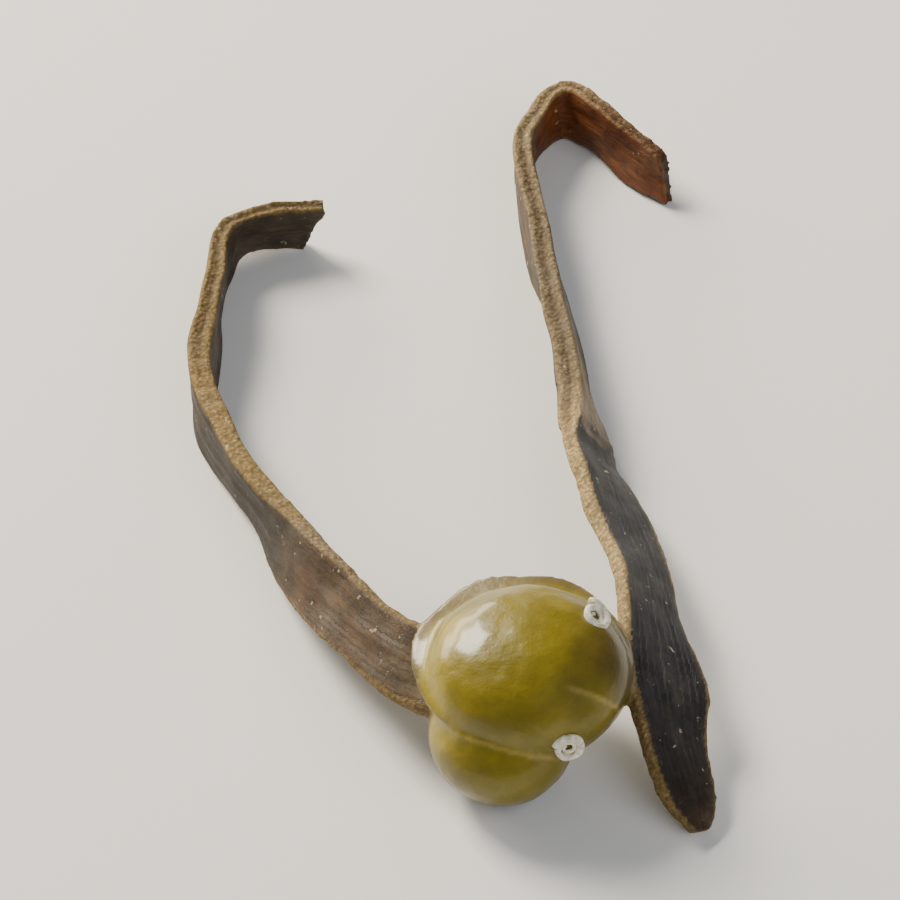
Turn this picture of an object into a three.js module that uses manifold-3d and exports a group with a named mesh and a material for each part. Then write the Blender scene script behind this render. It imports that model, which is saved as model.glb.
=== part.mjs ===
// A dried piece of bladderwrack: a forked strap of the frond, twisted as it dried, with a round air bladder
// in its fork and two small coiled worm tubes on the bladder. Millimetres, +Z up. The piece lies on a
// surface at z = 0. Its fork is at the front (-Y) and its two arms run back (+Y).
import * as THREE from "three";
import { mergeVertices } from "three/addons/utils/BufferGeometryUtils.js";
import Module from "manifold-3d";

const wasm = await Module();
wasm.setup();

// Driving dimensions of the air bladder: a flattened dome over a smaller lobe at its front left, with the
// blade's waved rim standing out round the dome, highest at its back left, and a dent at its front right
const DOME_WIDTH = 8.2;
const DOME_LENGTH = 7.8;
const DOME_HEIGHT = 2.6;
const DOME_DEPTH = 3.2;
const LOBE_MIDDLE = new THREE.Vector3(-1.0, -1.5, -1.9);
const LOBE_RADII = new THREE.Vector3(2.9, 3.3, 2.4);
const CREASE_SOFTNESS = 0.25;
const RIM_TILT = THREE.MathUtils.degToRad(8);
const RIM_NORMAL = new THREE.Vector3(0, -Math.sin(RIM_TILT), Math.cos(RIM_TILT));
const RIM_HEIGHT = 0.95;
const RIM_HIGHEST_AT = THREE.MathUtils.degToRad(115);
const RIM_SPREAD = THREE.MathUtils.degToRad(6);
const RIM_WAVE = THREE.MathUtils.degToRad(3);
const DENT_DIRECTION = new THREE.Vector3(0.55, -0.81, 0.19).normalize();
const DENT_SPREAD = 0.35;
const DENT_DEPTH = 0.3;
const FLAT_SPOT_DEPTH = 0.14;
const BLADDER_X = 0.3;
const BLADDER_Y = 0.4;

// Driving dimensions of the worm tubes
const TUBE_RING_RADIUS = 0.42;
const TUBE_RADIUS = 0.24;
const TUBE_DIRECTIONS = [
  new THREE.Vector3(2.66, 1.21, 1.88),
  new THREE.Vector3(1.54, -3.51, -0.59),
];

// The straps: how finely they are made, how far their margins wave and ripple, how hollow their faces are
// and how far their cut ends slant
const SECTION_SIDES = 14;
const STEPS_PER_STATION = 4;
const MARGIN_WAVE = 0.07;
const MARGIN_RIPPLE = 0.13;
const FACE_HOLLOW = 0.28;
const SECTION_SQUARENESS = 0.3;
const END_SLANT = 0.5;

// Each arm's middle line by hand, round the bladder. A station is x, y, z, then the roll of the blade in
// degrees (0 lies flat and 90 stands on its edge), the width and the thickness.
const RIGHT_ARM = [
  [7.0, -4.6, 0.3, -12, 0.9, 0.85],
  [6.7, -3.5, 1.0, -18, 2.1, 0.85],
  [6.1, -1.7, 2.0, -26, 3.2, 0.9],
  [5.7, 0.6, 2.9, -32, 3.8, 0.95],
  [5.4, 3.6, 3.2, -36, 3.2, 0.95],
  [4.8, 7.3, 2.9, -36, 2.9, 0.95],
  [3.9, 11.0, 2.5, -38, 3.0, 1.0],
  [3.1, 14.0, 2.0, -50, 3.0, 1.1],
  [2.8, 16.6, 1.6, -66, 2.9, 1.2],
  [2.4, 19.6, 1.4, -74, 2.8, 1.25],
  [1.8, 24.0, 1.4, -80, 2.8, 1.25],
  [1.0, 28.0, 1.4, -88, 2.8, 1.2],
  [0.6, 32.1, 1.4, -90, 2.8, 1.15],
  [0.9, 34.7, 1.4, -88, 2.8, 1.1],
  [2.2, 36.3, 1.4, -86, 2.8, 1.0],
  [3.8, 35.2, 1.4, -84, 2.8, 0.95],
  [5.2, 33.5, 1.3, -80, 2.6, 0.9],
  [6.8, 32.0, 1.1, -74, 2.1, 0.85],
];
const LEFT_ARM = [
  [-1.0, 0.2, 3.2, 12, 4.0, 1.2],
  [-3.7, 1.2, 3.4, 22, 3.4, 1.1],
  [-5.9, 3.2, 3.1, 38, 2.9, 0.95],
  [-7.7, 5.8, 2.6, 46, 2.9, 0.95],
  [-9.2, 8.8, 2.1, 70, 2.9, 1.05],
  [-10.4, 11.6, 1.7, 88, 2.8, 1.2],
  [-12.3, 15.2, 1.4, 88, 2.8, 1.25],
  [-13.2, 18.6, 1.4, 92, 2.8, 1.3],
  [-13.1, 22.6, 1.4, 90, 2.8, 1.3],
  [-12.8, 25.7, 1.4, 90, 2.8, 1.1],
  [-12.4, 27.7, 1.4, 88, 2.7, 0.95],
  [-11.2, 28.5, 1.4, 84, 2.7, 0.9],
  [-8.7, 28.9, 1.4, 80, 2.6, 0.85],
];

// A closed geometry as a solid for joining and cutting
function toSolid(geometry) {
  const shape = geometry.clone();
  shape.deleteAttribute("normal");
  shape.deleteAttribute("uv");
  const merged = mergeVertices(shape, 1e-4);
  const vertProperties = new Float32Array(merged.attributes.position.array);
  const triVerts = new Uint32Array(merged.index.array);
  return new wasm.Manifold(new wasm.Mesh({ numProp: 3, vertProperties, triVerts }));
}

// A solid as a geometry for a mesh
function toGeometry(solid) {
  const mesh = solid.getMesh();
  const geometry = new THREE.BufferGeometry();
  geometry.setAttribute("position", new THREE.BufferAttribute(new Float32Array(mesh.vertProperties), 3));
  geometry.setIndex(new THREE.BufferAttribute(new Uint32Array(mesh.triVerts), 1));
  geometry.computeVertexNormals();
  return geometry;
}

// Moves every vertex of a geometry by a function from its old place to its new one
function reshape(geometry, newPlace) {
  const position = geometry.attributes.position;
  const place = new THREE.Vector3();
  for (let i = 0; i < position.count; i += 1) {
    place.fromBufferAttribute(position, i);
    const moved = newPlace(place);
    position.setXYZ(i, moved.x, moved.y, moved.z);
  }
  return geometry;
}

// One arm: a cylinder along its middle line, flattened to a blade that turns with each station's roll
function makeStrap(stations) {
  const middleLine = new THREE.CatmullRomCurve3(
    stations.map(([x, y, z]) => new THREE.Vector3(x, y, z)), false, "catmullrom", 0.5);
  const blade = new THREE.CatmullRomCurve3(
    stations.map(([, , , roll, width, thickness]) => new THREE.Vector3(roll, width, thickness)),
    false, "catmullrom", 0.5);
  const steps = (stations.length - 1) * STEPS_PER_STATION;
  const up = new THREE.Vector3(0, 0, 1);
  return reshape(new THREE.CylinderGeometry(1, 1, 1, SECTION_SIDES, steps), ({ x, y, z }) => {
    const along = Math.min(Math.max(0.5 - y, 0), 1);
    const middle = middleLine.getPoint(along);
    const tangent = middleLine.getTangent(along);
    const { x: roll, y: width, z: thickness } = blade.getPoint(along);
    const side = new THREE.Vector3().crossVectors(tangent, up).normalize();
    const across = side.applyAxisAngle(tangent, THREE.MathUtils.degToRad(-roll));
    const through = new THREE.Vector3().crossVectors(tangent, across);
    const station = along * (stations.length - 1);
    const wave = 1 + MARGIN_WAVE * Math.sin(2.3 * station + Math.sign(x));
    const ripple = MARGIN_RIPPLE * x * x * Math.sin(2.9 * station + 2 * Math.sign(x));
    const hollow = 1 - FACE_HOLLOW * (1 - x * x);
    const squared = Math.sign(z) * Math.abs(z) ** SECTION_SQUARENESS;
    const slant = along === 1 ? END_SLANT * x : 0;
    middle.addScaledVector(across, x * wave * width / 2);
    middle.addScaledVector(tangent, slant);
    return middle.addScaledVector(through, squared * hollow * thickness / 2 + ripple);
  });
}

// A bump that fades with the distance from its middle
function bump(distance, spread) {
  return Math.exp(-((distance / spread) ** 2));
}

// How far the dome reaches in a direction from its middle
function domeReach(direction) {
  const height = direction.z > 0 ? DOME_HEIGHT : DOME_DEPTH;
  return 1 / Math.hypot(2 * direction.x / DOME_WIDTH, 2 * direction.y / DOME_LENGTH, direction.z / height);
}

// How far the lobe reaches in a direction from the dome's middle, which lies inside the lobe
function lobeReach(direction) {
  const step = direction.clone().divide(LOBE_RADII);
  const start = LOBE_MIDDLE.clone().divide(LOBE_RADII);
  const along = step.dot(start);
  return (along + Math.sqrt(along ** 2 - step.lengthSq() * (start.lengthSq() - 1))) / step.lengthSq();
}

// The blade's rim round the dome
function rimReach(direction) {
  const latitude = Math.asin(THREE.MathUtils.clamp(direction.dot(RIM_NORMAL), -1, 1));
  const turn = Math.atan2(direction.y, direction.x);
  const middle = RIM_WAVE * (Math.sin(2 * turn + 0.6) + 0.5 * Math.sin(5 * turn));
  const height = RIM_HEIGHT * (0.5 + 0.5 * Math.cos(turn - RIM_HIGHEST_AT)) ** 2;
  return height * (1 + 0.12 * Math.sin(7 * turn)) * bump(latitude - middle, RIM_SPREAD);
}

// The bladder's skin in a direction from the dome's middle
function bladderPoint(direction) {
  const dome = domeReach(direction);
  const lobe = lobeReach(direction);
  const meet = Math.max(1 - Math.abs(dome - lobe) / CREASE_SOFTNESS, 0);
  const body = Math.max(dome, lobe) + meet ** 2 * CREASE_SOFTNESS / 4;
  const dent = DENT_DEPTH * bump(direction.distanceTo(DENT_DIRECTION), DENT_SPREAD);
  return direction.clone().multiplyScalar(body + rimReach(direction) - dent);
}

function makeBladder() {
  const columns = 44;
  const rows = 44;
  const bladder = new THREE.SphereGeometry(1, columns, rows).rotateX(Math.PI / 2 + RIM_TILT);
  return reshape(bladder, (place) => bladderPoint(place.clone().normalize()));
}

// One worm tube: a ring half sunk in the bladder's skin
function makeTube(direction) {
  const outward = direction.clone().normalize();
  const skin = bladderPoint(outward);
  const ring = new THREE.TorusGeometry(TUBE_RING_RADIUS, TUBE_RADIUS, 7, 14);
  const turn = new THREE.Quaternion().setFromUnitVectors(new THREE.Vector3(0, 0, 1), outward);
  return ring.applyQuaternion(turn).translate(skin.x, skin.y, skin.z);
}

// Everything that would reach below the surface that the piece lies on
function makeUnderside() {
  const size = 120;
  return new THREE.BoxGeometry(size, size, size).translate(0, 0, -size / 2);
}

// The bladder and its tubes stand on a flat spot, and the arms meet them in the fork
const bladder = makeBladder();
bladder.computeBoundingBox();
const bladderLift = -bladder.boundingBox.min.z - FLAT_SPOT_DEPTH;
let frondSolid = toSolid(bladder);
for (const direction of TUBE_DIRECTIONS) {
  frondSolid = frondSolid.add(toSolid(makeTube(direction)));
}
frondSolid = frondSolid.translate([BLADDER_X, BLADDER_Y, bladderLift]);
frondSolid = frondSolid.add(toSolid(makeStrap(RIGHT_ARM))).add(toSolid(makeStrap(LEFT_ARM)));
frondSolid = frondSolid.subtract(toSolid(makeUnderside()));

const frondMaterial = new THREE.MeshStandardMaterial({ color: 0x5a4c26, roughness: 0.6, metalness: 0 });
const frond = new THREE.Mesh(toGeometry(frondSolid), frondMaterial);
frond.name = "bladderwrack_frond";

// The origin is on the surface, under the middle of the piece
frond.geometry.computeBoundingBox();
const middle = frond.geometry.boundingBox.getCenter(new THREE.Vector3());
frond.geometry.translate(-middle.x, -middle.y, 0);

const bladderwrack = new THREE.Group();
bladderwrack.add(frond);

export default bladderwrack;
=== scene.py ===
"""A dried piece of bladderwrack: a forked strap of the frond with a round air bladder in its fork.

The skin of the whole piece is one mesh, grown from two swept straps and the bladder, and it stands for
the part's one solid. Two chalky worm tubes sit on it. Shapes are worked out in millimetres near the
bladder and put in place in metres at the end.
"""
import math

import bpy
import numpy as np
from mathutils import Matrix, Vector, kdtree, noise


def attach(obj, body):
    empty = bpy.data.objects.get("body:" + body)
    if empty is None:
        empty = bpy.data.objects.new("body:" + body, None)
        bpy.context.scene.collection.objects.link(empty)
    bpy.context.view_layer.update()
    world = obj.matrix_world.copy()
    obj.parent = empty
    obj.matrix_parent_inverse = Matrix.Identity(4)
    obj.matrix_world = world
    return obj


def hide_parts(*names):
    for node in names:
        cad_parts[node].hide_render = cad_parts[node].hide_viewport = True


MM = 0.001
FROND_NODE = "bladderwrack_frond"

# From the arms' coordinates to the part's frame, and the dome's middle in the arms' coordinates
FRAME_SHIFT = (3.0548, -15.9497, 0)
BLADDER_MIDDLE = np.array((0.3, 0.4, 4.1586))

# The bladder: a flattened dome over a smaller lobe at its front left, with the blade's waved rim
# standing out round the dome, highest at its back left, and a dent at its front right
DOME_WIDTH = 8.2
DOME_LENGTH = 7.8
DOME_HEIGHT = 2.6
DOME_DEPTH = 3.2
LOBE_MIDDLE = np.array((-1.0, -1.5, -1.9))
LOBE_RADII = np.array((2.9, 3.3, 2.4))
CREASE_SOFTNESS = 0.25
RIM_TILT = math.radians(8)
RIM_NORMAL = np.array((0, -math.sin(RIM_TILT), math.cos(RIM_TILT)))
RIM_HEIGHT = 0.95
RIM_HIGHEST_AT = math.radians(115)
RIM_SPREAD = math.radians(2.6)
RIM_WAVE = math.radians(3)
DENT_DIRECTION = np.array((0.552, -0.812, 0.191))
DENT_SPREAD = 0.35
DENT_DEPTH = 0.3

# The straps' margins, faces and torn ends
MARGIN_WAVE = 0.07
MARGIN_RIPPLE = 0.13
MARGIN_RAGGEDNESS = 0.08
MARGIN_GROOVE = 0.2
FACE_HOLLOW = 0.28
FACE_MIDRIB = 0.1
FACE_WRINKLE = 0.07
FOLD_STEP = 0.16
STRAP_WOBBLE = 0.1
THICKNESS_CHANGE = 0.12
SECTION_SQUARENESS = 0.3
END_SLANT = 0.5
END_RAGGEDNESS = 0.35

# Each arm's middle line, listed station by station: x, y, z, roll of the blade in degrees, width and
# thickness
RIGHT_ARM = np.array((
    (7.0, -4.6, 0.3, -12, 0.9, 0.85),
    (6.7, -3.5, 1.0, -18, 2.1, 0.85),
    (6.1, -1.7, 2.0, -26, 3.2, 0.9),
    (5.7, 0.6, 2.9, -32, 3.8, 0.95),
    (5.4, 3.6, 3.2, -36, 3.2, 0.95),
    (4.8, 7.3, 2.9, -36, 2.9, 0.95),
    (3.9, 11.0, 2.5, -38, 3.0, 1.0),
    (3.1, 14.0, 2.0, -50, 3.0, 1.1),
    (2.8, 16.6, 1.6, -66, 2.9, 1.2),
    (2.4, 19.6, 1.4, -74, 2.8, 1.25),
    (1.8, 24.0, 1.4, -80, 2.8, 1.25),
    (1.0, 28.0, 1.4, -88, 2.8, 1.2),
    (0.6, 32.1, 1.4, -90, 2.8, 1.15),
    (0.9, 34.7, 1.4, -88, 2.8, 1.1),
    (2.2, 36.3, 1.4, -86, 2.8, 1.0),
    (3.8, 35.2, 1.4, -84, 2.8, 0.95),
    (5.2, 33.5, 1.3, -80, 2.6, 0.9),
    (6.8, 32.0, 1.1, -74, 2.1, 0.85),
))
LEFT_ARM = np.array((
    (-1.0, 0.2, 3.2, 12, 4.0, 1.2),
    (-3.7, 1.2, 3.4, 22, 3.4, 1.1),
    (-5.9, 3.2, 3.1, 38, 2.9, 0.95),
    (-7.7, 5.8, 2.6, 46, 2.9, 0.95),
    (-9.2, 8.8, 2.1, 70, 2.9, 1.05),
    (-10.4, 11.6, 1.7, 88, 2.8, 1.2),
    (-12.3, 15.2, 1.4, 88, 2.8, 1.25),
    (-13.2, 18.6, 1.4, 92, 2.8, 1.3),
    (-13.1, 22.6, 1.4, 90, 2.8, 1.3),
    (-12.8, 25.7, 1.4, 90, 2.8, 1.1),
    (-12.4, 27.7, 1.4, 88, 2.7, 0.95),
    (-11.2, 28.5, 1.4, 84, 2.7, 0.9),
    (-8.7, 28.9, 1.4, 80, 2.6, 0.85),
))

# How finely the skin is made
SKIN_VOXEL = 0.112
BLADDER_SEGMENTS = 300
BLADDER_RINGS = 240
STRAP_SIDES = 56
STRAP_RING_GAP = 0.11
MARGIN_CROWDING = 0.45

# A fine raised line on the dome's front right, from one direction to another, and the lip in the crease
RIDGE_START = np.array((1.47, -2.37, 1.84))
RIDGE_END = np.array((3.5, -1.93, -0.42))
RIDGE_HEIGHT = 0.09
LIP_HEIGHT = 0.09

# Colours of the skin, as sRGB in 0 to 255
OLIVE = (110, 97, 8)
# Deep olive is the left arm's own colour where it leaves the bladder, and painted shade on the bladder's
# right
OLIVE_DEEP = (66, 50, 4)
OLIVE_PAINTED_LIGHT = (150, 131, 26)
OLIVE_PAINTED_SHADE = (46, 32, 8)
RIM_OLIVE = (98, 84, 40)
PAINTED_CREST_HIGHLIGHT = (158, 138, 66)
PURPLE_BROWN = (66, 48, 29)
TAN = (150, 128, 88)
TAN_OLIVE = (120, 99, 60)
TAN_GREY = (118, 101, 74)
PALE_GREY = (122, 106, 86)
CHARCOAL = (32, 29, 29)
SLATE = (50, 49, 51)
GREY_BROWN = (56, 47, 35)
RUST = (94, 52, 24)
DARK_BROWN = (50, 36, 24)
NEAR_BLACK_PAINTED_SHADE = (36, 26, 17)

# Each arm's colours along its stations: the face that is up where the blade lies flat, the face that is
# under it there, and the margins
RIGHT_ARM_PAINT = (
    (0, DARK_BROWN, DARK_BROWN, TAN_OLIVE),
    (2, CHARCOAL, DARK_BROWN, TAN_OLIVE),
    (5, SLATE, DARK_BROWN, TAN),
    (7.3, SLATE, GREY_BROWN, TAN),
    (7.6, PALE_GREY, GREY_BROWN, TAN),
    (8.8, TAN_GREY, GREY_BROWN, TAN_GREY),
    (9.6, GREY_BROWN, GREY_BROWN, TAN_GREY),
    (11, GREY_BROWN, PURPLE_BROWN, TAN_GREY),
    (13, RUST, PURPLE_BROWN, TAN),
    (17, RUST, GREY_BROWN, RUST),
)
LEFT_ARM_PAINT = (
    (0, OLIVE_DEEP, OLIVE_DEEP, TAN_OLIVE),
    (2, PURPLE_BROWN, DARK_BROWN, TAN_OLIVE),
    (3.4, PURPLE_BROWN, GREY_BROWN, TAN_GREY),
    # Painted shade: from station 4.4 the left arm's first face is near black, easing to dark brown by
    # station 9
    (4.4, NEAR_BLACK_PAINTED_SHADE, GREY_BROWN, TAN_OLIVE),
    (7, NEAR_BLACK_PAINTED_SHADE, GREY_BROWN, TAN_OLIVE),
    (9, DARK_BROWN, DARK_BROWN, TAN_OLIVE),
    (12, PURPLE_BROWN, GREY_BROWN, TAN_OLIVE),
)

# Colours of dust and painted sheen, salt specks, chalk and the floor, as linear RGB
DUST_AND_SHEEN = (0.13, 0.108, 0.072, 1)
SALT = (0.42, 0.36, 0.26, 1)
CHALK_DARK = (0.5, 0.44, 0.3, 1)
CHALK_PALE = (0.86, 0.83, 0.72, 1)
FLOOR_GREY = (0.74, 0.73, 0.71, 1)

# Worm tubes on the bladder, by their direction from its middle
TUBE_RINGS = 130
TUBE_SIDES = 14
TUBE_TURNS = 2.1
TUBE_LEAN = Vector((-0.1, -0.45, 0.3))
TUBE_DIRECTIONS = (
    (2.66, 1.21, 1.88),
    (1.54, -3.51, -0.59),
)


def linear(color):
    """An sRGB colour in 0 to 255 as linear RGB."""
    share = np.asarray(color, float) / 255
    return np.where(share <= 0.04045, share / 12.92, ((share + 0.055) / 1.055) ** 2.4)


def tint(color, target, share):
    """Colours moved towards a target sRGB colour by each one's share."""
    return color + (linear(target) - color) * share[:, None]


def bump(distance, spread):
    """A bump that fades with the distance from its middle."""
    return np.exp(-((distance / spread) ** 2))


def smooth_step(value, low, high):
    """From 0 at low to 1 at high, with soft ends."""
    share = np.clip((value - low) / (high - low), 0, 1)
    return share * share * (3 - 2 * share)


def wander(points, seed, scale):
    """Smooth noise from -1 to 1 at each point, at a scale in millimetres."""
    shift = Vector((seed * 17.3, seed * 5.1, seed * 9.7))
    return np.array([noise.noise(Vector(p) / scale + shift) for p in points])


def spline(values, share):
    """A smooth line through the rows of values, at each share of its length from 0 to 1."""
    last = len(values) - 1
    place = share * last
    index = np.clip(np.floor(place).astype(int), 0, last - 1)
    step = (place - index)[:, None]
    ends = np.vstack((2 * values[0] - values[1], values, 2 * values[-1] - values[-2]))
    before, start, end, after = (ends[index + k] for k in range(4))
    leave = (end - before) / 2
    arrive = (after - start) / 2
    square = 3 * (end - start) - 2 * leave - arrive
    cube = 2 * (start - end) + leave + arrive
    return start + leave * step + square * step ** 2 + cube * step ** 3


def unit(vectors):
    """Each row scaled to length 1."""
    return vectors / np.linalg.norm(vectors, axis=1, keepdims=True)


def rotate_x(points, angle):
    turn = np.array(Matrix.Rotation(angle, 3, "X"))
    return points @ turn.T


def read_points(obj):
    points = np.empty(len(obj.data.vertices) * 3)
    obj.data.vertices.foreach_get("co", points)
    return points.reshape(-1, 3)


def write_points(obj, points):
    obj.data.vertices.foreach_set("co", np.asarray(points, np.float32).ravel())
    obj.data.update()


def deselect():
    bpy.ops.object.select_all(action="DESELECT")


def choose(*objects):
    """Selects these objects alone, the first one active."""
    deselect()
    for obj in objects:
        obj.select_set(True)
    bpy.context.view_layer.objects.active = objects[0]


def apply_modifier(obj, kind, **settings):
    choose(obj)
    modifier = obj.modifiers.new(kind.lower(), kind)
    for name, value in settings.items():
        setattr(modifier, name, value)
    bpy.ops.object.modifier_apply(modifier=modifier.name)


def add_ball(name, segments, rings):
    """A round ball of radius 1, the closed start of every grown shape here."""
    deselect()
    bpy.ops.mesh.primitive_uv_sphere_add(segments=segments, ring_count=rings, radius=1)
    ball = bpy.context.active_object
    ball.name = name
    return ball


def ring_number(ball, rings):
    """The ring of a ball that each of its points lies on, from 0 at its top to the last at its bottom."""
    return np.rint(np.arccos(np.clip(ball[:, 2], -1, 1)) / (math.pi / rings))


def strap_frame(stations, share):
    """Middle, direction, across, through, width and thickness at each share of a strap's length."""
    middle = spline(stations[:, :3], share)
    nudge = 1e-4
    ahead = spline(stations[:, :3], np.minimum(share + nudge, 1))
    behind = spline(stations[:, :3], np.maximum(share - nudge, 0))
    direction = unit(ahead - behind)
    blade = spline(stations[:, 3:], share)
    roll = np.radians(blade[:, :1])
    side = unit(np.cross(direction, (0, 0, 1)))
    across = side * np.cos(roll) - np.cross(direction, side) * np.sin(roll)
    through = np.cross(direction, across)
    return middle, direction, across, through, blade[:, 1], blade[:, 2]


def paint_along(paint, column, station):
    """The colour in one column of an arm's paint at each station."""
    stops = [stop[0] for stop in paint]
    colors = np.array([linear(stop[column]) for stop in paint])
    return np.stack([np.interp(station, stops, channel) for channel in colors.T], axis=1)


def paint_strap(paint, station, through, edge):
    """The colour at a station of a strap: its faces by the way through, its margins by the edge share."""
    upper = paint_along(paint, 1, station)
    under = paint_along(paint, 2, station)
    margin = paint_along(paint, 3, station)
    face = np.where((through < 0)[:, None], upper, under)
    return face + (margin - face) * edge[:, None]


def right_arm_fold(station):
    """The right arm's faces step out where it folds over, and settle again further on."""
    return FOLD_STEP * smooth_step(station, 7.4, 7.6) * smooth_step(-station, -10.0, -8.0)


def grow_strap(name, stations, paint, fold_step, seed):
    """One arm swept along its middle line, and the grain, colours and margins that its skin takes over."""
    length = np.linalg.norm(np.diff(stations[:, :3], axis=0), axis=1).sum()
    rings = int(length / STRAP_RING_GAP)
    strap = add_ball(name, STRAP_SIDES, rings)
    ball = read_points(strap)
    ring = ring_number(ball, rings)
    share = np.clip((ring - 1) / (rings - 2), 0, 1)
    angle = np.arctan2(ball[:, 1], ball[:, 0])
    angle += MARGIN_CROWDING * np.sin(2 * angle)
    pole = (ring == 0) | (ring == rings)
    x = np.where(pole, 0, np.sin(angle))
    z = np.where(pole, 0, np.cos(angle))
    middle, direction, across, through, width, thickness = strap_frame(stations, share)
    station = share * (len(stations) - 1)
    edge = smooth_step(np.abs(x), 0.8, 0.97)
    flat = np.stack((share * length, x * width / 2, np.full(len(x), seed * 10.0)), axis=1)
    wave = 1 + MARGIN_WAVE * np.sin(2.3 * station + np.sign(x))
    ragged = MARGIN_RAGGEDNESS * edge * wander(flat * (1, 0.2, 1), seed + 1, 0.45)
    ripple = MARGIN_RIPPLE * x * x * np.sin(2.9 * station + 2 * np.sign(x))
    hollow = 1 - FACE_HOLLOW * (1 - x * x) + FACE_MIDRIB * bump(x, 0.16)
    squared = np.sign(z) * np.abs(z) ** SECTION_SQUARENESS
    wrinkle = FACE_WRINKLE * wander(flat * (0.35, 2.2, 1), seed + 2, 0.8) * (1 - edge)
    wrinkle += np.sign(z) * fold_step(station) * (1 - edge)
    groove = MARGIN_GROOVE * bump(squared, 0.4) * smooth_step(np.abs(x), 0.9, 1.0)
    groove = groove * smooth_step(station, 6, 8)
    wobble = STRAP_WOBBLE * wander(flat * (1, 0, 1), seed + 4, 1.8)
    half = thickness / 2 * (1 + THICKNESS_CHANGE * wander(flat * (1, 0, 1), seed + 5, 1.3))
    torn = END_SLANT * x + END_RAGGEDNESS * wander(flat * (0, 1, 1), seed + 3, 0.5)
    fray = smooth_step(share, 0.965, 1) * torn
    points = middle + across * (x * wave * width / 2 + np.sign(x) * (ragged - groove))[:, None]
    points += direction * fray[:, None]
    points += through * (squared * hollow * half + ripple + wrinkle + wobble)[:, None]
    write_points(strap, points)
    color = paint_strap(paint, station + 0.3 * wander(flat, seed + 6, 0.7), z, edge)
    # Painted shade: the groove along the margins is darkened towards dark brown
    color = tint(color, DARK_BROWN, 3.5 * groove)
    return strap, flat, color, edge


def dome_reach(direction):
    """How far the dome reaches in each direction from its middle."""
    height = np.where(direction[:, 2] > 0, DOME_HEIGHT, DOME_DEPTH)
    half_width = np.full(len(height), DOME_WIDTH / 2)
    half_length = np.full(len(height), DOME_LENGTH / 2)
    radii = np.stack((half_width, half_length, height), axis=1)
    return 1 / np.linalg.norm(direction / radii, axis=1)


def lobe_reach(direction):
    """How far the lobe reaches in each direction from the dome's middle, which lies inside the lobe."""
    step = direction / LOBE_RADII
    start = LOBE_MIDDLE / LOBE_RADII
    along = step @ start
    square = (step ** 2).sum(axis=1)
    return (along + np.sqrt(along ** 2 - square * (start @ start - 1))) / square


def rim_reach(direction):
    """How far the blade's rim stands out round the dome."""
    latitude = np.arcsin(np.clip(direction @ RIM_NORMAL, -1, 1))
    turn = np.arctan2(direction[:, 1], direction[:, 0])
    middle = RIM_WAVE * (np.sin(2 * turn + 0.6) + 0.5 * np.sin(5 * turn))
    height = RIM_HEIGHT * (0.5 + 0.5 * np.cos(turn - RIM_HIGHEST_AT)) ** 2
    rim = height * (1 + 0.12 * np.sin(7 * turn)) * bump(latitude - middle, RIM_SPREAD)
    foot = 0.2 * height * bump(latitude - middle - 3.2 * RIM_SPREAD, 1.4 * RIM_SPREAD)
    return rim - foot


def lip_reach(direction):
    """The skin's thin raised lip along the crease between dome and lobe, at the front."""
    front = smooth_step(-direction[:, 1], 0.3, 0.8)
    return front * bump(dome_reach(direction) - lobe_reach(direction), 0.12)


def ridge_reach(direction):
    """The fine raised line on the dome's front right."""
    start, end = unit(np.array((RIDGE_START, RIDGE_END)))
    side = unit(np.cross(start, end)[None])[0]
    off_line = direction @ side + 0.05 * np.sin(6 * direction[:, 0])
    share = (direction - start) @ (end - start) / ((end - start) @ (end - start))
    return bump(off_line, 0.025) * smooth_step(share, -0.05, 0.15) * smooth_step(-share, -1.05, -0.8)


def bladder_skin(direction):
    """The bladder's skin in each direction from the dome's middle."""
    dome = dome_reach(direction)
    lobe = lobe_reach(direction)
    meet = np.maximum(1 - np.abs(dome - lobe) / CREASE_SOFTNESS, 0)
    body = np.maximum(dome, lobe) + meet ** 2 * CREASE_SOFTNESS / 4
    dent = DENT_DEPTH * bump(np.linalg.norm(direction - DENT_DIRECTION, axis=1), DENT_SPREAD)
    return direction * (body + rim_reach(direction) - dent)[:, None]


def grow_bladder():
    """The bladder with its fine unevenness, and its colours, with painted light and shade in them."""
    bladder = add_ball("bladder", BLADDER_SEGMENTS, BLADDER_RINGS)
    direction = unit(rotate_x(read_points(bladder), RIM_TILT))
    skin = bladder_skin(direction)
    lip = lip_reach(direction)
    ridge = ridge_reach(direction)
    uneven = 0.06 * wander(skin, 3, 1.5) + 0.03 * wander(skin, 4, 0.6)
    skin += direction * (uneven + LIP_HEIGHT * lip + RIDGE_HEIGHT * ridge)[:, None]
    write_points(bladder, skin + BLADDER_MIDDLE)
    rim = rim_reach(direction)
    patch = wander(skin, 5, 2.2)
    color = np.tile(linear(OLIVE), (len(skin), 1))
    # Painted light: the olive turns paler in patches that gather to the left, where the light falls
    color = tint(color, OLIVE_PAINTED_LIGHT, 0.6 * smooth_step(patch - 0.5 * direction[:, 0], 0.1, 0.7))
    # Painted shade: deeper olive towards the right
    color = tint(color, OLIVE_DEEP, 0.8 * smooth_step(direction[:, 0] - 0.3 * patch, 0.35, 0.95))
    # Painted shade: darker underneath, and in the groove at the foot of the rim
    color = tint(color, OLIVE_PAINTED_SHADE, smooth_step(-direction[:, 2], 0.4, 0.8))
    color = tint(color, OLIVE_PAINTED_SHADE, 0.7 * smooth_step(-rim, 0.06, 0.16))
    color = tint(color, RIM_OLIVE, smooth_step(rim, 0.05, 0.35))
    # Painted highlight: the crease's lip and the fine ridge are made paler, where they catch the light
    color = tint(color, PAINTED_CREST_HIGHLIGHT, 0.6 * np.maximum(lip, ridge))
    return bladder, skin + BLADDER_MIDDLE, color


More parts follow.
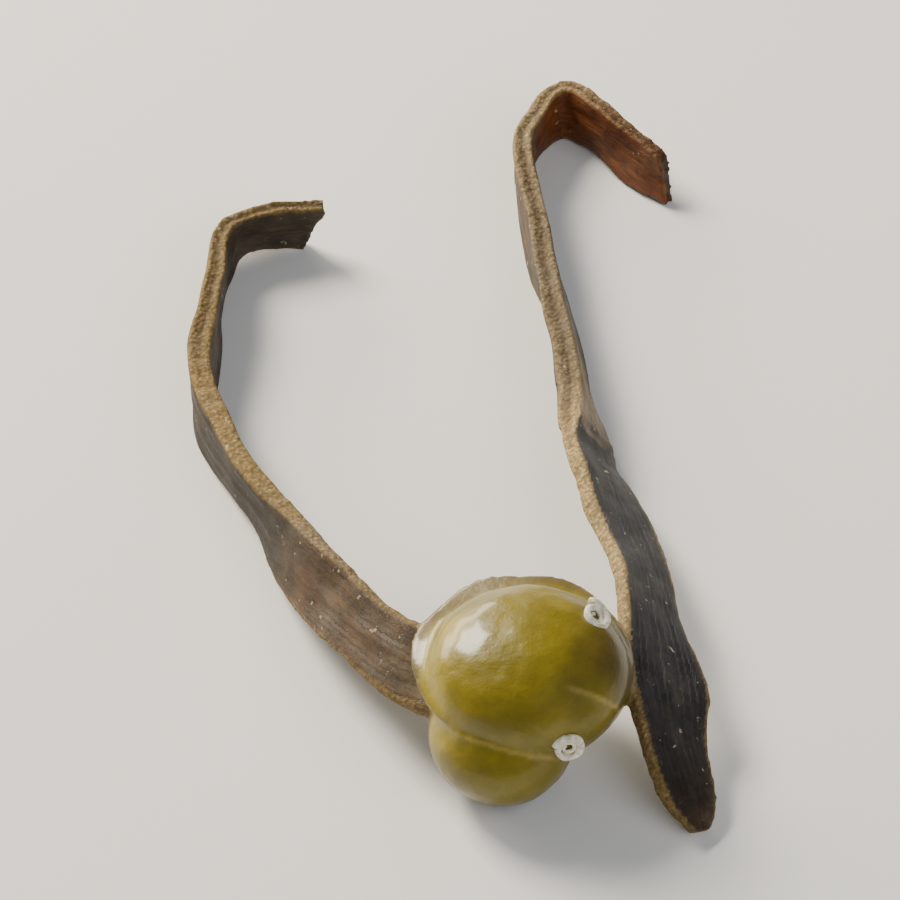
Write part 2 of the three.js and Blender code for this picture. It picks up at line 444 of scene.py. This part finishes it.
def nearest(source, points):
    """Index of the nearest source point, and its distance, for each point."""
    tree = kdtree.KDTree(len(source))
    for index, place in enumerate(source):
        tree.insert(place, index)
    tree.balance()
    found = [tree.find(place)[1:] for place in points]
    return np.array([f[0] for f in found]), np.array([f[1] for f in found])


def store(mesh, name, kind, values):
    """Keeps a value for each vertex as a named attribute of the mesh."""
    layer = mesh.attributes.new(name, kind, "POINT")
    field = {"FLOAT": "value", "FLOAT_VECTOR": "vector", "FLOAT_COLOR": "color"}[kind]
    layer.data.foreach_set(field, np.asarray(values, np.float32).ravel())


def place_in_frame(obj):
    """From millimetres in the arms' coordinates to metres in the part's frame."""
    shift = Matrix.Translation(FRAME_SHIFT)
    obj.data.transform(Matrix.Scale(MM, 4) @ shift)
    obj.data.update()


def grow_skin():
    """One closed skin over both straps and the bladder, with what its material reads kept on it."""
    right, right_flat, right_color, right_edge = grow_strap(
        "right_arm", RIGHT_ARM, RIGHT_ARM_PAINT, right_arm_fold, 1)
    left, left_flat, left_color, left_edge = grow_strap(
        "left_arm", LEFT_ARM, LEFT_ARM_PAINT, np.zeros_like, 2)
    bladder, bladder_points, bladder_color = grow_bladder()
    strap_points = np.vstack((read_points(right), read_points(left)))
    strap_flat = np.vstack((right_flat, left_flat))
    strap_color = np.vstack((right_color, left_color))
    strap_edge = np.concatenate((right_edge, left_edge))
    choose(bladder, right, left)
    bpy.ops.object.join()
    skin = bpy.context.active_object
    skin.name = "frond_with_bladder"
    skin.data.name = skin.name
    apply_modifier(skin, "REMESH", mode="VOXEL", voxel_size=SKIN_VOXEL)
    apply_modifier(skin, "SMOOTH", factor=0.5, iterations=3)
    points = read_points(skin)
    points[:, 2] = np.maximum(points[:, 2], 0)
    write_points(skin, points)
    strap_index, strap_gap = nearest(strap_points, points)
    bladder_index, bladder_gap = nearest(bladder_points, points)
    share = smooth_step(strap_gap - bladder_gap, -0.2, 0.3)
    on_strap = strap_color[strap_index]
    on_bladder = bladder_color[bladder_index]
    color = on_strap + (on_bladder - on_strap) * share[:, None]
    store(skin.data, "paint", "FLOAT_COLOR", np.column_stack((color, np.ones(len(color)))))
    store(skin.data, "grain", "FLOAT_VECTOR", strap_flat[strap_index])
    store(skin.data, "margin", "FLOAT", strap_edge[strap_index] * (1 - share))
    store(skin.data, "swell", "FLOAT", share)
    place_in_frame(skin)
    choose(skin)
    bpy.ops.object.shade_smooth()
    return skin


def new_material(name):
    material = bpy.data.materials.new(name)
    material.use_nodes = True
    tree = material.node_tree
    return material, tree, tree.nodes["Principled BSDF"]


def add_node(tree, kind, **settings):
    node = tree.nodes.new(kind)
    for name, value in settings.items():
        if name in node.inputs:
            node.inputs[name].default_value = value
        else:
            setattr(node, name, value)
    return node


def attribute(tree, name):
    return add_node(tree, "ShaderNodeAttribute", attribute_name=name)


def noise_on(tree, vector, scale, detail=3.0, roughness=0.55):
    """Noise from 0 to 1 on a vector socket."""
    texture = tree.nodes.new("ShaderNodeTexNoise")
    texture.inputs["Scale"].default_value = scale
    texture.inputs["Detail"].default_value = detail
    texture.inputs["Roughness"].default_value = roughness
    tree.links.new(vector, texture.inputs["Vector"])
    return texture.outputs["Fac"]


def stretch(tree, vector, scale):
    mapping = tree.nodes.new("ShaderNodeMapping")
    mapping.inputs["Scale"].default_value = scale
    tree.links.new(vector, mapping.inputs["Vector"])
    return mapping.outputs["Vector"]


def math_node(tree, operation, *inputs):
    node = tree.nodes.new("ShaderNodeMath")
    node.operation = operation
    for socket, value in zip(node.inputs, inputs):
        if isinstance(value, (int, float)):
            socket.default_value = value
        else:
            tree.links.new(value, socket)
    return node.outputs["Value"]


def ramp(tree, value, low, high, start=0.0, end=1.0):
    """A value carried from low and high to start and end, and kept between them."""
    node = tree.nodes.new("ShaderNodeMapRange")
    node.interpolation_type = "SMOOTHSTEP"
    node.inputs["From Min"].default_value = low
    node.inputs["From Max"].default_value = high
    node.inputs["To Min"].default_value = start
    node.inputs["To Max"].default_value = end
    tree.links.new(value, node.inputs["Value"])
    return node.outputs["Result"]


def mix_color(tree, share, first, second, blend="MIX"):
    node = tree.nodes.new("ShaderNodeMix")
    node.data_type = "RGBA"
    node.blend_type = blend
    sockets = [s for s in node.inputs if s.type == "RGBA"]
    for socket, value in ((node.inputs[0], share), (sockets[0], first), (sockets[1], second)):
        if isinstance(value, bpy.types.NodeSocket):
            tree.links.new(value, socket)
        else:
            socket.default_value = value
    return [s for s in node.outputs if s.type == "RGBA"][0]


def granules(tree, vector, scale):
    """Distance to the nearest of many scattered grains, from 0 at a grain's middle."""
    texture = tree.nodes.new("ShaderNodeTexVoronoi")
    texture.inputs["Scale"].default_value = scale
    tree.links.new(vector, texture.inputs["Vector"])
    return texture.outputs["Distance"]


def blend(tree, share, first, second):
    """Two values mixed by a share from 0 to 1."""
    node = tree.nodes.new("ShaderNodeMix")
    for socket, value in zip(node.inputs[:1] + node.inputs[2:4], (share, first, second)):
        if isinstance(value, bpy.types.NodeSocket):
            tree.links.new(value, socket)
        else:
            socket.default_value = value
    return node.outputs[0]


def skin_material():
    """Dried skin: leathery faces with lengthwise fibres, crumbly margins and a glossy, pitted bladder."""
    material, tree, shader = new_material("dried_wrack_skin")
    place = tree.nodes.new("ShaderNodeTexCoord").outputs["Object"]
    paint = attribute(tree, "paint").outputs["Color"]
    grain = attribute(tree, "grain").outputs["Vector"]
    margin = attribute(tree, "margin").outputs["Fac"]
    swell = attribute(tree, "swell").outputs["Fac"]
    fibre = noise_on(tree, stretch(tree, grain, (0.35, 5.0, 1.0)), 1.6, 4.0)
    mottle = noise_on(tree, place, 800.0, 5.0, 0.6)
    crumbs = granules(tree, place, 5200.0)
    fine = noise_on(tree, place, 6000.0, 4.0, 0.65)
    face_tone = math_node(tree, "MULTIPLY", ramp(tree, fibre, 0.3, 0.7, 0.65, 1.4),
                          ramp(tree, mottle, 0.32, 0.68, 0.7, 1.35))
    margin_tone = math_node(tree, "MULTIPLY", ramp(tree, fine, 0.35, 0.65, 0.72, 1.3),
                            ramp(tree, crumbs, 0.3, 0.8, 1.12, 0.75))
    swell_tone = ramp(tree, mottle, 0.3, 0.7, 0.86, 1.14)
    # A pale mottle on the straps: partly dust, partly painted sheen on their faces
    dust_and_sheen_mottle = ramp(tree, noise_on(tree, place, 420.0, 4.0, 0.65), 0.45, 0.75, 0.0, 0.38)
    dust_and_sheen_share = math_node(tree, "MULTIPLY", dust_and_sheen_mottle, math_node(tree, "SUBTRACT", 1.0, swell))
    tone = blend(tree, swell, blend(tree, margin, face_tone, margin_tone), swell_tone)
    toned = mix_color(tree, 1.0, paint, tone, "MULTIPLY")
    specks = ramp(tree, noise_on(tree, place, 2600.0, 2.0), 0.68, 0.74, 0.0, 0.6)
    speck_share = math_node(tree, "MULTIPLY", specks, math_node(tree, "SUBTRACT", 1.0, swell))
    dusted_and_sheened = mix_color(tree, dust_and_sheen_share, toned, DUST_AND_SHEEN)
    salted = mix_color(tree, speck_share, dusted_and_sheened, SALT)
    tree.links.new(salted, shader.inputs["Base Color"])
    face_rough = ramp(tree, fibre, 0.25, 0.75, 0.45, 0.7)
    strap_rough = blend(tree, margin, face_rough, 0.85)
    tree.links.new(blend(tree, swell, strap_rough, 0.42), shader.inputs["Roughness"])
    tree.links.new(math_node(tree, "MULTIPLY", swell, 0.55), shader.inputs["Coat Weight"])
    shader.inputs["Coat Roughness"].default_value = 0.16
    shader.inputs["Coat IOR"].default_value = 1.4
    shader.inputs["Specular IOR Level"].default_value = 0.3
    margin_height = math_node(tree, "ADD", math_node(tree, "MULTIPLY", fine, 0.6),
                              ramp(tree, crumbs, 0.1, 0.8, 0.35, 0.0))
    strap_height = blend(tree, margin, math_node(tree, "MULTIPLY", fibre, 0.8), margin_height)
    dimples = noise_on(tree, place, 1900.0, 3.0, 0.6)
    swell_height = math_node(tree, "ADD", math_node(tree, "MULTIPLY", dimples, 0.5),
                             math_node(tree, "MULTIPLY", fine, 0.05))
    relief = add_node(tree, "ShaderNodeBump", Strength=0.8, Distance=0.00012)
    tree.links.new(blend(tree, swell, strap_height, swell_height), relief.inputs["Height"])
    tree.links.new(relief.outputs["Normal"], shader.inputs["Normal"])
    return material


def chalk_material():
    """Rough chalky white with duller patches, for the worm tubes."""
    material, tree, shader = new_material("chalky_tube")
    place = tree.nodes.new("ShaderNodeTexCoord").outputs["Object"]
    patches = noise_on(tree, place, 4200.0, 3.0, 0.6)
    tone = ramp(tree, patches, 0.3, 0.7)
    color = mix_color(tree, tone, CHALK_DARK, CHALK_PALE)
    tree.links.new(color, shader.inputs["Base Color"])
    shader.inputs["Roughness"].default_value = 0.55
    relief = add_node(tree, "ShaderNodeBump", Strength=0.5, Distance=0.00008)
    tree.links.new(patches, relief.inputs["Height"])
    tree.links.new(relief.outputs["Normal"], shader.inputs["Normal"])
    return material


def tube_spot(direction):
    """Where a worm tube sits on the bladder, and the way out of the skin there."""
    outward = unit(np.array(direction)[None])
    skin = bladder_skin(outward)[0] + BLADDER_MIDDLE
    return Vector(skin), Vector(outward[0])


def coil_tube(name, direction, seed):
    """A worm tube: a thin cone wound flat in a spiral, open at its wide end, half sunk in the skin."""
    tube = add_ball(name, TUBE_SIDES, TUBE_RINGS)
    ball = read_points(tube)
    ring = ring_number(ball, TUBE_RINGS)
    share = np.clip((ring - 1) / (TUBE_RINGS - 2), 0, 1)
    pole = (ring == 0) | (ring == TUBE_RINGS)
    angle = np.arctan2(ball[:, 1], ball[:, 0])
    turn = share * TUBE_TURNS * 2 * math.pi + seed
    reach = 0.1 + 0.5 * share ** 0.9
    girth = (0.06 + 0.13 * share) * np.where(pole, 0, 1) * (1 + 0.08 * np.sin(60 * share))
    outward = np.stack((np.cos(turn), np.sin(turn), np.zeros_like(turn)), axis=1)
    points = outward * (reach + girth * np.cos(angle))[:, None]
    points[:, 2] = girth * np.sin(angle) + 0.12 - 0.12 * (1 - share)
    mouth = ring == TUBE_RINGS
    points[mouth] -= 0.25 * np.cross((0, 0, 1), outward[mouth])
    write_points(tube, points)
    spot, out = tube_spot(direction)
    lean = (out + TUBE_LEAN).normalized()
    turn_out = lean.to_track_quat("Z", "Y").to_matrix().to_4x4()
    tube.data.transform(Matrix.Translation(spot) @ turn_out)
    place_in_frame(tube)
    choose(tube)
    bpy.ops.object.shade_smooth()
    return tube


def make_floor():
    deselect()
    bpy.ops.mesh.primitive_plane_add(size=4)
    floor = bpy.context.active_object
    floor.name = "floor"
    material, tree, shader = new_material("pale_floor")
    shader.inputs["Base Color"].default_value = FLOOR_GREY
    shader.inputs["Roughness"].default_value = 0.8
    floor.data.materials.append(material)


def add_light(name, place, size, power, color):
    """A soft rectangular light of this width and height that faces the piece."""
    deselect()
    bpy.ops.object.light_add(type="AREA", location=place)
    light = bpy.context.active_object
    light.name = name
    light.data.shape = "RECTANGLE"
    light.data.size, light.data.size_y = size
    light.data.energy = power
    light.data.color = color
    light.rotation_euler = (-Vector(place)).to_track_quat("-Z", "Y").to_euler()
    return light


def make_lights():
    """A warm key and window from the back left, a cool fill from the front right and a dim backdrop."""
    world = bpy.data.worlds.new("studio")
    bpy.context.scene.world = world
    world.use_nodes = True
    backdrop = world.node_tree.nodes["Background"]
    backdrop.inputs["Color"].default_value = (0.92, 0.95, 1.0, 1)
    backdrop.inputs["Strength"].default_value = 0.22
    add_light("key", (-0.16, 0.16, 0.2), (0.12, 0.12), 1.9, (1.0, 0.92, 0.78))
    add_light("window", (-0.19, 0.24, 0.085), (0.3, 0.07), 1.2, (1.0, 0.9, 0.7))
    fill = add_light("fill", (0.16, -0.16, 0.18), (0.24, 0.24), 0.45, (0.95, 0.97, 1.0))
    fill.visible_glossy = False


def make_camera():
    """A long lens from the front, as steep as the photograph's view."""
    elevation = math.radians(46)
    distance = 0.208
    aim = Vector((0.0003, -0.0014, 0.002))
    back = Vector((0, -math.cos(elevation), math.sin(elevation)))
    deselect()
    bpy.ops.object.camera_add(location=aim + back * distance)
    camera = bpy.context.active_object
    camera.rotation_euler = (-back).to_track_quat("-Z", "Y").to_euler()
    camera.data.lens = 200
    camera.data.clip_start = 0.01
    bpy.context.scene.camera = camera


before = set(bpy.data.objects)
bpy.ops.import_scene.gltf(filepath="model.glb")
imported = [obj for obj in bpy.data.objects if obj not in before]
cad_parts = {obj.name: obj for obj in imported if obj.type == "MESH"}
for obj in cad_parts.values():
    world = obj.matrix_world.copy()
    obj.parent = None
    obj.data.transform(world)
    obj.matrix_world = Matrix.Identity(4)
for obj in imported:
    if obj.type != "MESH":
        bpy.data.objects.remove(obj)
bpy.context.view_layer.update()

frond = grow_skin()
frond.data.materials.append(skin_material())
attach(frond, "root")
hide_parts(FROND_NODE)

chalk = chalk_material()
for number, tube_direction in enumerate(TUBE_DIRECTIONS):
    worm_tube = coil_tube(f"worm_tube_{number + 1}", tube_direction, 2.0 * number)
    worm_tube.data.materials.append(chalk)
    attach(worm_tube, "root")

make_floor()
make_lights()
make_camera()
